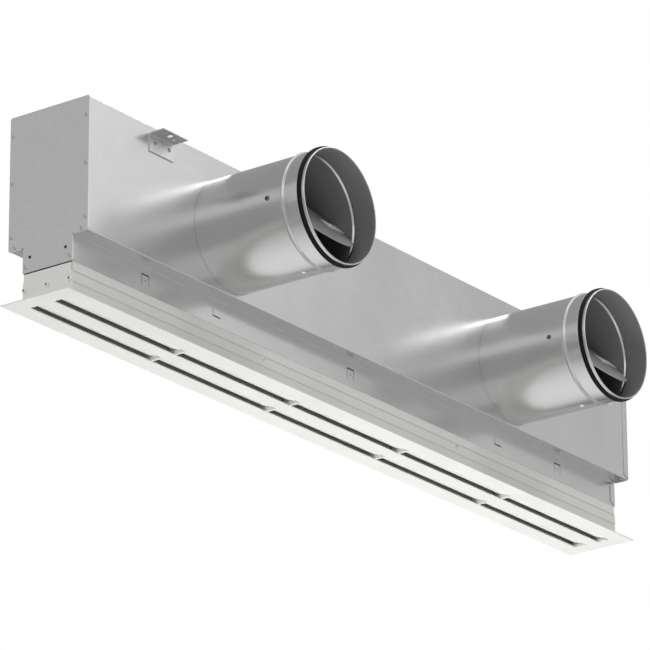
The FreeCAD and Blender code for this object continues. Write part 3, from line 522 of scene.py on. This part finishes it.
def screw_template(head, height, shank, length):
    """A pan head screw with a threaded shank and a cross recess in the second material, a dark
    grey that paints shade in the recess.
    """
    turns = int(length / THREAD_PITCH)
    step = (length - shank) / turns
    thread = []
    for index in range(turns):
        low = -length + shank + (length - shank) * index / turns
        thread += [(shank * THREAD_ROOT, low), (shank, low + step * 0.5)]
    dome = (
        (0.97, 0), (1, 0.12), (0.99, 0.45), (0.93, 0.72), (0.78, 0.90), (0.5, 0.985), (0, 1),
    )
    profile = [(0, -length), (shank * 0.5, -length + shank * 0.4)] + thread
    profile.append((shank * THREAD_ROOT, 0))
    profile += [(head * across, height * up) for across, up in dome]
    cutters = cross_cutters(head * 0.42, head * 1.25, height, height * 0.62)
    shape = cut_away(lathe(profile, 32), cutters)
    # The faces inside the cross recess take the second material: painted shade
    for face in shape.faces:
        centre = face.calc_center_median() / MM
        below_dome = height * 0.1 < centre.z < height * 0.85
        if below_dome and math.hypot(centre.x, centre.y) < head * 0.7:
            face.material_index = 1
    return template(shape)


def fasteners(name, mesh, places, materials, nodes):
    """One piece from a fastener's template and its (direction, spot) places."""
    shape = bmesh.new()
    for direction, spot in places:
        before = len(shape.verts)
        shape.from_mesh(mesh)
        shape.verts.ensure_lookup_table()
        bmesh.ops.transform(shape, matrix=facing(direction, spot), verts=shape.verts[before:])
    make_piece(name, shape, materials, nodes, sharp=40.0)


def end_rivet_places():
    """(y, z) of the rivets in an end plate."""
    tall = BOX_TOP - BOX_BASE
    levels = [BOX_TOP - tall * 0.14, BOX_BASE + tall / 2, BOX_BASE + tall * 0.1]
    places = []
    for sign in (1, -1):
        places += [((HALF_BOX - END_RIVET_EDGE) * sign, level) for level in levels]
        places.append(((HALF_BOX - END_RIVET_CORNER) * sign, BOX_BASE + END_RIVET_EDGE))
        places.append(((HALF_NECK - END_RIVET_EDGE) * sign, NECK_BASE + END_RIVET_NECK))
    return places


plate_rivet = rivet_template(SHEET * 2 + SEAT)
bracket_rivet = rivet_template(SHEET + SEAT + HANGER_SHEET)
stop_rivet = rivet_template(SHEET + SEAT * 3)
end_screw = screw_template(3.2, 2.6, 1.8, 13.0)
side_screw = screw_template(2.6, 1.6, 1.5, 5.0)
pip = template(lathe([(1.3, -0.3), (1.3, 0.05), (1.1, 0.3), (0.6, 0.5), (0, 0.55)], 20))

for side_name, side in SIDES:
    places = [((side, 0, 0), (HALF_LENGTH * side, y, z)) for y, z in end_rivet_places()]
    fasteners(
        f"plate_rivets_{side_name}", plate_rivet, places, (rivet_steel,),
        (f"end_rivets_{side_name}",))
    places = [
        ((side, 0, 0), ((HALF_SLOTS + ANGLE_SHEET) * side, y, PORT_Z))
        for y in (-PORT_SPREAD, 0, PORT_SPREAD)
    ]
    fasteners(
        f"angle_screws_{side_name}", end_screw, places, (highlit_screw_steel, dark_pin_and_recess_shade),
        (f"end_screws_{side_name}",))
    places = [((0, 0, -1), (SPIGOT_X * side, PIVOT_Y, SPIGOT_Z - SPIGOT_RADIUS - SEAT))]
    fasteners(
        f"stop_rivet_{side_name}", stop_rivet, places, (glint_steel,),
        (f"damper_stop_{side_name}",))

for row_name, row in ROWS:
    places = [
        ((0, row, 0), (SIDE_SCREW_X * sign, (HALF_NECK + SEAT) * row, SIDE_SCREW_Z))
        for sign in (1, -1)
    ]
    fasteners(
        f"wall_screws_{row_name}", side_screw, places, (highlit_screw_steel, dark_pin_and_recess_shade),
        (f"side_screws_{row_name}",))

places = [
    ((0, row, 0), (x, HALF_NECK * row, PIP_Z))
    for row in (-1, 1) for x in (-HANGER_X, -CATCH_MIDDLE, HANGER_X)
]
fasteners("catch_pips", pip, places, (shaded_rivet_steel,), ())

places = [
    ((0, row, 0), (
        HANGER_X * end + offset,
        (HALF_BOX + SEAT + HANGER_SHEET) * row,
        HANGER_SHELF - HANGER_RIVET_DROP,
    ))
    for row in (-1, 1) for end in (-1, 1) for offset in (-HANGER_RIVET_X, HANGER_RIVET_X)
]
fasteners(
    "bracket_rivets", bracket_rivet, places, (shaded_rivet_steel,),
    ("hanger_rivets",))


# ----------------------------------------------------------------- spigots

ROUND_SEGMENTS = 224
CURVE_STEPS = 8
HEM_RADIUS = 1.0
SEAL_STEP = 0.7
SEAL_SEAT_END = 9.6
FLANK_START = 10.1
FLANK_WIDTH = 2.6
BEAD_HEIGHT = 1.8
BEAD_HALF_WIDTH = 3.0
BEAD_FULLNESS = 0.75
LIP_PITCH = 2.6
EAR_GAP = 1.7
COLLAR_PLAY = 0.4


def wave(share):
    """A half cosine that falls from 1 at 0 to 0 at 1 and at -1."""
    return 0.5 + 0.5 * math.cos(math.pi * share)


def spigot_place(side):
    """Turns a lathed shape's Z along the box's Y, on a spigot's axis."""
    turn = Matrix.Rotation(math.radians(-90), 4, "X")
    return moved_by(SPIGOT_X * side, 0, SPIGOT_Z) @ turn


def bead_line(radius):
    """One side of the rolled tube across its stop bead."""
    points = [(radius, BEAD_Y - 3.6)]
    for index in range(-CURVE_STEPS, CURVE_STEPS + 1):
        share = index / CURVE_STEPS
        rise = BEAD_HEIGHT * wave(share) ** BEAD_FULLNESS
        points.append((radius + rise, BEAD_Y + BEAD_HALF_WIDTH * share))
    points.append((radius, BEAD_Y + 4.0))
    return points


def build_spigot(side_name, side):
    """The rolled tube: hemmed rim, seal seat, stop bead and the flange behind the box wall.

    The flange's first ring, just outside the bend, keeps the tube's shading straight.
    """
    tube = SPIGOT_RADIUS
    wall = -HALF_BOX + SHEET + SEAT
    hem = arc((tube - SEAL_STEP, RIM_Y + HEM_RADIUS), HEM_RADIUS, 180, 360, 12)
    outer = hem + [
        (tube + 0.3, RIM_Y + 3.9), (tube + 0.2, RIM_Y + 4.3), (tube - 0.1, RIM_Y + 4.55),
        (tube - SEAL_STEP, RIM_Y + 4.65), (tube - SEAL_STEP, RIM_Y + SEAL_SEAT_END),
    ]
    for index in range(CURVE_STEPS + 1):
        share = index / CURVE_STEPS
        outer.append((tube - SEAL_STEP * wave(share), RIM_Y + FLANK_START + FLANK_WIDTH * share))
    outer += bead_line(tube)
    flange = [
        (tube, wall - 1.1), (tube, wall - 0.3), (tube + 0.3, wall), (tube + 3.4, wall),
        (tube + 3.5, wall + 0.1), (tube + 3.5, wall + 0.9), (tube + 3.4, wall + 1.0),
        (tube + 0.1, wall + 1.0), (tube - 0.6, wall + 0.8), (tube - 1.0, wall + 0.1),
    ]
    inner = [(tube - 1.7, RIM_Y + 4.0), (tube - 1.05, BEAD_Y - 4.6)] + bead_line(tube - SHEET)
    shape = lathe(outer + flange + inner[::-1], ROUND_SEGMENTS, closed=True)
    transform(shape, spigot_place(side))
    make_piece(
        f"tube_{side_name}", shape, (collar_steel,),
        (f"spigot_{side_name}",), sharp=50.0)


def build_seal(side_name, side):
    """The rubber ring with two thin lips that lean away from the rim."""
    floor = SPIGOT_RADIUS - 0.6
    base = SPIGOT_RADIUS + 0.3
    start = RIM_Y + 4.75
    profile = [(floor, start), (base - 0.25, start)]
    for lip in (0, 1):
        foot = start + lip * LIP_PITCH
        profile += [
            (base, foot + 0.15), (base + 0.6, foot + 0.35), (base + 1.5, foot + 0.95),
            (base + 2.15, foot + 1.7), (base + 2.42, foot + 2.2), (base + 2.45, foot + 2.45),
            (base + 2.25, foot + 2.6), (base + 1.7, foot + 2.3), (base + 0.9, foot + 1.75),
            (base + 0.15, foot + 1.5), (base, foot + 1.9),
        ]
    profile += [(base - 0.05, start + 5.1), (base - 0.25, start + 5.25), (floor, start + 5.25)]
    shape = lathe(profile, ROUND_SEGMENTS, closed=True)
    transform(shape, spigot_place(side))
    make_piece(
        f"rubber_ring_{side_name}", shape, (seal_rubber,),
        (f"lip_seal_{side_name}",), sharp=60.0)


def build_pivots(side_name, side):
    """The two pivot pins of a damper: a domed head outside, collars either side of the ear."""
    ear_out = SPIGOT_RADIUS - SHEET - EAR_GAP
    outer = ear_out + COLLAR_PLAY
    inner = ear_out - SHEET - COLLAR_PLAY
    head = SPIGOT_RADIUS + SEAT
    profile = [
        (0, inner - 0.9), (3.0, inner - 0.9), (3.45, inner - 0.6), (3.5, inner - 0.1),
        (3.4, inner), (2.0, inner),
        (2.0, outer), (3.4, outer), (3.5, outer + 0.1), (3.5, outer + 0.75),
        (3.4, outer + 0.85), (2.0, outer + 0.85),
        (2.0, head), (3.3, head), (3.4, head + 0.15), (3.3, head + 0.6), (2.9, head + 1.1),
        (2.2, head + 1.45), (1.75, head + 1.58), (1.6, head + 1.5), (1.5, head + 0.3),
        (0, head + 0.25),
    ]
    places = [((sign, 0, 0), (SPIGOT_X * side, PIVOT_Y, SPIGOT_Z)) for sign in (1, -1)]
    fasteners(
        f"pivot_pins_{side_name}", template(lathe(profile, 32)), places, (dark_pin_and_recess_shade,),
        (f"damper_pivots_{side_name}",))


for side_name, side in SIDES:
    build_spigot(side_name, side)
    build_seal(side_name, side)
    build_pivots(side_name, side)


# -------------------------------------------------------- brackets, plates

CUTTER_REACH = 4
LIP_FOLD = 1.15
LIP_REACH = 11.5
LIP_TAPER = 5.0
STEP_LIP = (43.75, 64.5)


def hole_cutter(radius, segments):
    """A round cutter that reaches through a sheet from both sides."""
    profile = [
        (0, -CUTTER_REACH), (radius, -CUTTER_REACH), (radius, CUTTER_REACH), (0, CUTTER_REACH),
    ]
    return lathe(profile, segments)


def build_hanger(row_name, row, end_name, end):
    """An angle bracket with a rounded bend and two holes in its shelf."""
    corner = (-SEAT - HANGER_SHEET - HANGER_BEND, -HANGER_SHEET - HANGER_BEND)
    outline = [(-SEAT, -HANGER_LEG)]
    outline += arc(corner, HANGER_BEND + HANGER_SHEET, 0, 90, 8)
    outline += [(-HANGER_REACH, 0), (-HANGER_REACH, -HANGER_SHEET)]
    outline += arc(corner, HANGER_BEND, 90, 0, 8)
    outline += [(-SEAT - HANGER_SHEET, -HANGER_LEG)]
    cutters = []
    for x, y, radius in HANGER_HOLES:
        cutter = hole_cutter(radius, 40)
        transform(cutter, moved_by(x, y, 0))
        cutters.append(cutter)
    ends = [[(x, y, z) for y, z in outline] for x in (-HALF_HANGER, HALF_HANGER)]
    shape = cut_away(loft(ends), cutters)
    turn = Matrix.Rotation(math.pi if row > 0 else 0, 4, "Z")
    transform(shape, moved_by(HANGER_X * end, HALF_BOX * row, HANGER_SHELF) @ turn)
    make_piece(
        f"bracket_{row_name}_{end_name}", shape, (bracket_steel,),
        (f"hanger_{row_name}_{end_name}",), width=0.15)


def fold_lip(shape, first, last, outward):
    """A tapered lip folded back from the plate's edge between two (y, z) points."""
    along = Vector((last[0] - first[0], last[1] - first[1])).normalized()
    stations = []
    for degrees in range(0, 91, 15):
        angle = math.radians(degrees)
        stations.append((LIP_FOLD - LIP_FOLD * math.cos(angle), LIP_FOLD * math.sin(angle)))
    stations.append((LIP_REACH, LIP_FOLD))
    rows = []
    for back, out in stations:
        shrink = LIP_TAPER * back / LIP_REACH
        row = []
        for point, sign in ((first, 1), (last, -1)):
            y = point[0] + outward[0] * out + along[0] * shrink * sign
            z = point[1] + outward[1] * out + along[1] * shrink * sign
            row.append(shape.verts.new(((HALF_LENGTH - back) * MM, y * MM, z * MM)))
        rows.append(row)
    for low, high in zip(rows, rows[1:]):
        shape.faces.new((low[0], low[1], high[1], high[0]))


def build_plate(side_name, side):
    """The end plate: a flat sheet whose lips are folded over the box with a small radius."""
    neck = HALF_NECK + SHEET + SEAT - LIP_FOLD
    step = BOX_BASE - SHEET - SEAT + LIP_FOLD
    deep = HALF_BOX + SHEET + SEAT - LIP_FOLD
    top = BOX_TOP + SHEET + SEAT - LIP_FOLD
    near, far = STEP_LIP
    shape = bmesh.new()
    half = [
        (neck, NECK_BASE), (neck, NECK_BASE + 1), (neck, BOX_BASE - 2), (neck, step),
        (near, step), (far, step), (deep, step), (deep, BOX_BASE + 1), (deep, BOX_TOP - 1),
        (deep, top), (far, top),
    ]
    outline = half + [(-y, z) for y, z in half[::-1]]
    shape.faces.new([shape.verts.new((HALF_LENGTH * MM, y * MM, z * MM)) for y, z in outline])
    for sign in (1, -1):
        fold_lip(shape, (neck * sign, NECK_BASE + 1), (neck * sign, BOX_BASE - 2), (sign, 0))
        fold_lip(shape, (near * sign, step), (far * sign, step), (0, -1))
        fold_lip(shape, (deep * sign, BOX_BASE + 1), (deep * sign, BOX_TOP - 1), (sign, 0))
    fold_lip(shape, (far, top), (-far, top), (0, 1))
    clean(shape)
    if sum(face.normal.x * face.calc_area() for face in shape.faces) < 0:
        bmesh.ops.reverse_faces(shape, faces=shape.faces)
    bmesh.ops.solidify(shape, geom=shape.faces[:], thickness=SHEET * MM)
    cutters = []
    for sign in (1, -1):
        cutter = hole_cutter(PEEP_RADIUS, 32)
        transform(cutter, facing((1, 0, 0), (HALF_LENGTH, PEEP_Y * sign, PEEP_Z)))
        cutters.append(cutter)
    shape = cut_away(shape, cutters)
    if side < 0:
        transform(shape, Matrix.Rotation(math.pi, 4, "Z"))
    make_piece(
        f"cap_{side_name}", shape, (galvanised,),
        (f"end_plate_{side_name}",), width=0.12)


for row_name, row in ROWS:
    for end_name, end in SIDES:
        build_hanger(row_name, row, end_name, end)
for side_name, side in SIDES:
    build_plate(side_name, side)


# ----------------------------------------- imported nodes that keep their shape

dress_cad("plenum_casing", galvanised, 0.15)
for side_name, side in SIDES:
    dress_cad(f"damper_blade_{side_name}", shaded_damper_steel, 0.15)
    dress_cad(f"damper_strap_{side_name}_a", lit_strap_steel, 0.3)
    dress_cad(f"damper_strap_{side_name}_b", lit_strap_steel, 0.3)
    dress_cad(f"strap_rivets_{side_name}", glint_steel, 0.2)
    dress_cad(f"end_angle_{side_name}", angle_coat, 0.2)
    dress_cad(f"tie_bar_{side_name}", galvanised, 0.2)
for row_name, row in ROWS:
    dress_cad(f"side_profile_{row_name}", profile_coat, 0.25)
    for number in range(1, 5):
        dress_cad(f"web_{row_name}_{number}", vane_plastic, 0.25)
    for number in range(1, 6):
        dress_cad(f"vane_{row_name}_{number}", vane_plastic, 0.15)
dress_cad("centre_profile", profile_coat, 0.25)


# ------------------------------------------------------- floor, light, camera

WHITE = (1, 1, 1, 1)
FLOOR_SIZE = 40
FLOOR_Z = -3.0
FLOOR_COLOUR = (0.75, 0.75, 0.74, 1.0)
FLOOR_ROUGHNESS = 0.9
BACKDROP_LEVEL = 1.0
AMBIENT_LEVEL = 0.54

SENSOR = 36.0
LENS = 269.36
SHIFT_X = -0.00473
SHIFT_Y = -0.00179
VIEW_AZIMUTH = 53.297
VIEW_RISE = 20.712
VIEW_TILT = -0.2905
VIEW_TARGET = (-0.02293, 0, 0.15117)
VIEW_DISTANCE = 6.6984
CLIP_END = 100.0


def choose(tree, factor, first, second):
    """One shader where the factor is 0 and the other where it is 1."""
    node = tree.nodes.new("ShaderNodeMixShader")
    tree.links.new(factor, node.inputs["Fac"])
    tree.links.new(first, node.inputs[1])
    tree.links.new(second, node.inputs[2])
    return node.outputs["Shader"]


def plane(name, width, depth, location, direction, material):
    """A flat stage card that faces a direction."""
    shape = bmesh.new()
    corners = [
        (-width / 2, -depth / 2, 0), (width / 2, -depth / 2, 0),
        (width / 2, depth / 2, 0), (-width / 2, depth / 2, 0),
    ]
    shape.faces.new([shape.verts.new(corner) for corner in corners])
    mesh = to_mesh(name, shape)
    card = add_object(name, mesh)
    turn = Vector(direction).to_track_quat("Z", "Y").to_matrix().to_4x4()
    card.matrix_world = Matrix.Translation(location) @ turn
    mesh.materials.append(material)
    return card


def build_floor():
    """A pale floor that is clear from below, where the photograph looks from."""
    material = bpy.data.materials.new("floor_pale")
    material.use_nodes = True
    tree = material.node_tree
    shader = tree.nodes["Principled BSDF"]
    shader.inputs["Base Color"].default_value = FLOOR_COLOUR
    shader.inputs["Roughness"].default_value = FLOOR_ROUGHNESS
    below = tree.nodes.new("ShaderNodeNewGeometry").outputs["Backfacing"]
    clear = tree.nodes.new("ShaderNodeBsdfTransparent").outputs["BSDF"]
    result = choose(tree, below, shader.outputs["BSDF"], clear)
    tree.links.new(result, tree.nodes["Material Output"].inputs["Surface"])
    plane("floor", FLOOR_SIZE, FLOOR_SIZE, (0, 0, FLOOR_Z), (0, 0, 1), material)


def reflector(name, width, height, location, direction, level, fade=None):
    """A grey card that only mirrors in metal, as a studio flag does.

    fade is how far the card fades out along its width and its height.
    """
    material = bpy.data.materials.new(name)
    material.use_nodes = True
    tree = material.node_tree
    glow = tree.nodes.new("ShaderNodeEmission")
    glow.inputs["Color"].default_value = WHITE
    glow.inputs["Strength"].default_value = level
    result = glow.outputs["Emission"]
    if fade is not None:
        axes = object_axes(tree)
        shares = []
        for axis, size, rim in (("X", width, fade[0]), ("Y", height, fade[1])):
            away = compute(tree, "ABSOLUTE", axes[axis])
            shares.append(span(tree, away, (size / 2 - rim, size / 2), (1.0, 0.0)))
        clear = tree.nodes.new("ShaderNodeBsdfTransparent").outputs["BSDF"]
        result = choose(tree, compute(tree, "MULTIPLY", *shares), clear, result)
    tree.links.new(result, tree.nodes["Material Output"].inputs["Surface"])
    card = plane(name, width, height, location, direction, material)
    card.visible_camera = False
    card.visible_diffuse = False
    card.visible_shadow = False


def build_world():
    """A white backdrop for the camera, mirrors and glass, and a softer light on the part."""
    world = bpy.data.worlds.new("studio")
    bpy.context.scene.world = world
    world.use_nodes = True
    tree = world.node_tree
    backdrop = tree.nodes["Background"]
    backdrop.inputs["Color"].default_value = WHITE
    backdrop.inputs["Strength"].default_value = BACKDROP_LEVEL
    ambient = tree.nodes.new("ShaderNodeBackground")
    ambient.inputs["Color"].default_value = WHITE
    ambient.inputs["Strength"].default_value = AMBIENT_LEVEL
    rays = tree.nodes.new("ShaderNodeLightPath").outputs
    seen = compute(tree, "ADD", rays["Is Camera Ray"], rays["Is Glossy Ray"])
    seen = compute(tree, "ADD", seen, rays["Is Transmission Ray"])
    seen.node.use_clamp = True
    result = choose(tree, seen, ambient.outputs["Background"], backdrop.outputs["Background"])
    tree.links.new(result, tree.nodes["World Output"].inputs["Surface"])


def lamp(name, location, target, size, power):
    """A square soft lamp that faces a target and lights only what isn't a mirror."""
    data = bpy.data.lights.new(name, "AREA")
    data.shape = "SQUARE"
    data.size = size
    data.energy = power
    item = bpy.data.objects.new(name, data)
    item.location = location
    item.rotation_mode = "QUATERNION"
    item.rotation_quaternion = (Vector(target) - Vector(location)).to_track_quat("-Z", "Y")
    item.visible_camera = False
    item.visible_glossy = False
    bpy.context.scene.collection.objects.link(item)


def place_camera():
    """The photograph's view, from below and to the left."""
    data = bpy.data.cameras.new("photo_view")
    data.sensor_width = SENSOR
    data.lens = LENS
    data.shift_x = SHIFT_X
    data.shift_y = SHIFT_Y
    data.clip_end = CLIP_END
    azimuth = math.radians(VIEW_AZIMUTH)
    rise = math.radians(VIEW_RISE)
    tilt = math.radians(VIEW_TILT)
    level = math.cos(rise)
    forward = Vector((math.sin(azimuth) * level, math.cos(azimuth) * level, math.sin(rise)))
    right = forward.cross(Vector((0, 0, 1))).normalized()
    up = right.cross(forward)
    tilted_right = math.cos(tilt) * right + math.sin(tilt) * up
    tilted_up = math.cos(tilt) * up - math.sin(tilt) * right
    turn = Matrix((tilted_right, tilted_up, -forward)).transposed().to_4x4()
    camera = add_object("photo_view", data)
    camera.matrix_world = Matrix.Translation(Vector(VIEW_TARGET) - forward * VIEW_DISTANCE) @ turn
    bpy.context.scene.camera = camera


build_floor()

# Width, height, centre, direction, level and soft edges of each card
reflector("card_left", 8, 5, (-4.0, 3.0, 3.1), (1, -0.4, 0), 0.60)
reflector("card_left_low", 8, 3.6, (-4.0, 3.0, -1.2), (1, -0.4, 0), 0.40)
reflector("card_right", 7, 6, (8.2, -3.0, 1.5), (-0.4, 1, 0), 0.58)
reflector("card_front", 5.5, 4.2, (-4.0, -3.4, -0.5), (0.75, 0.6, 0), 0.51)
reflector("card_above", 9, 5, (0.2, 2.9, 3.4), (0, -0.65, -0.76), 0.38)
reflector("card_back", 5, 8.0, (5.4, 4.0, 1.3), (-0.8, -0.6, 0), 0.20)
reflector("card_floor", 5, 5, (5.9, 4.0, -2.95), (0, 0, 1), 0.24)
reflector("card_floor_front", 9, 7, (5.5, -5.0, -2.95), (0, 0, 1), 0.62)
reflector("card_floor_left", 4.4, 3.4, (-2.3, -3.0, -2.9), (0, 0, 1), 0.80)
reflector("card_low", 8.6, 4.6, (0.5, 2.0, -2.4), (0.05, -0.35, 0.93), 0.94, (4.0, 1.2))
reflector("card_streak", 2.6, 0.65, (1.75, -2.15, 2.6), (-0.55, 0.5, -0.66), 6.6, (0.5, 0.15))
reflector("card_front_top", 3.0, 2.2, (-1.4, -2.6, 2.95), (0.1, 0.35, -0.93), 0.60)

build_world()

# Place, target, size and power of each lamp
lamp("key_low", (0.4, 0.1, -1.7), (0.3, 0, 0.1), 1.5, 27)
lamp("fill_top", (-0.45, -2.2, 3.3), (0, 0, 0.1), 1.0, 16)
lamp("fill_front", (0.8, -4.0, 0.1), (0, 0, 0.1), 1.5, 22)
lamp("fill_left", (-4.5, 0.4, -0.3), (0, 0, 0.1), 1.5, 32)

place_camera()
bpy.context.scene.view_settings.view_transform = "Standard"
